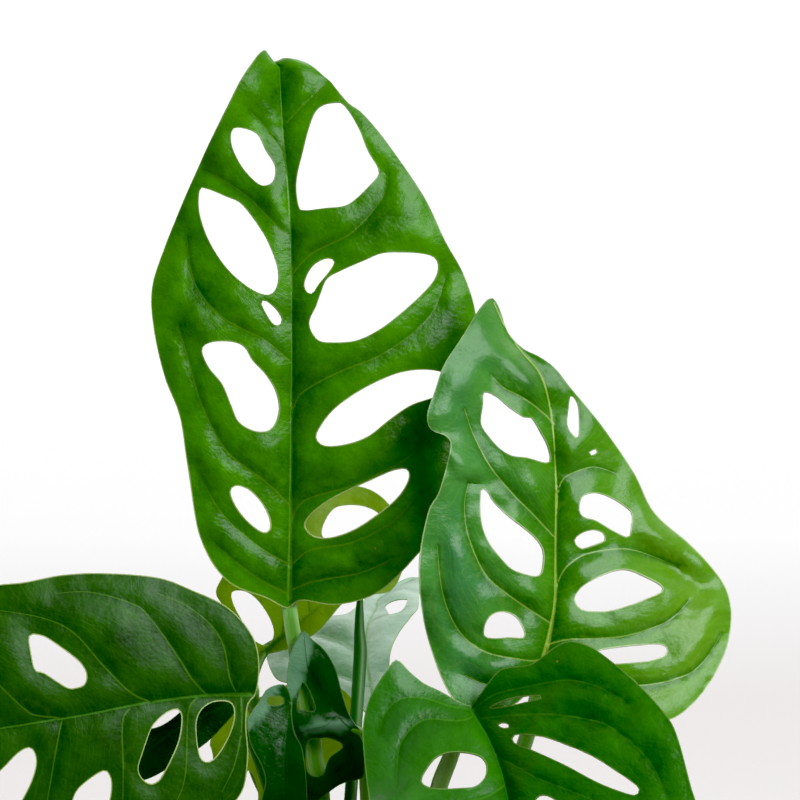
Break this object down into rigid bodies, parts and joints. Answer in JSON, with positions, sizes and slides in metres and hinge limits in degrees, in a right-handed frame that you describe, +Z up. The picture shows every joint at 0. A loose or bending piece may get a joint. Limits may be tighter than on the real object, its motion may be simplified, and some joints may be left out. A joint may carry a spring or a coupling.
{
  "type": "potted monstera adansonii",
  "caption": "Potted swiss cheese vine with holed heart-shaped leaves on long stalks, standing in soil in a plain tapered clay pot.",
  "frame": {"origin": "centre of the pot's foot, on the surface that the pot stands on", "axes": "+Z up, -Y towards the viewer of the picture, +X to the viewer's right"},
  "size_m": [0.2746, 0.2175, 0.3417],
  "materials": {
    "clay": "unglazed, matt",
    "soil": "loose potting soil, matt",
    "leaf": "waxy, satin",
    "stalk": "satin",
    "stem": "satin"
  },
  "bodies": {
    "root": {"pot": "clay", "soil": "soil", "stem_main": "stem", "stem_right": "stem", "stem_back": "stem", "leaf_tall": "leaf", "leaf_creased": "leaf", "leaf_side": "leaf", "leaf_front": "leaf", "leaf_young": "leaf", "leaf_lobed": "leaf", "leaf_behind": "leaf", "leaf_under": "leaf", "leaf_shaded": "leaf", "leaf_level": "leaf", "leaf_low_right": "leaf", "leaf_back_right": "leaf", "leaf_back_left": "leaf", "leaf_low_front": "leaf", "stalk_tall": "stalk", "stalk_creased": "stalk", "stalk_side": "stalk", "stalk_front": "stalk", "stalk_young": "stalk", "stalk_lobed": "stalk", "stalk_behind": "stalk", "stalk_under": "stalk", "stalk_shaded": "stalk", "stalk_level": "stalk", "stalk_low_right": "stalk", "stalk_back_right": "stalk", "stalk_back_left": "stalk", "stalk_low_front": "stalk", "new_leaf": "leaf"}
  },
  "joints": []
}
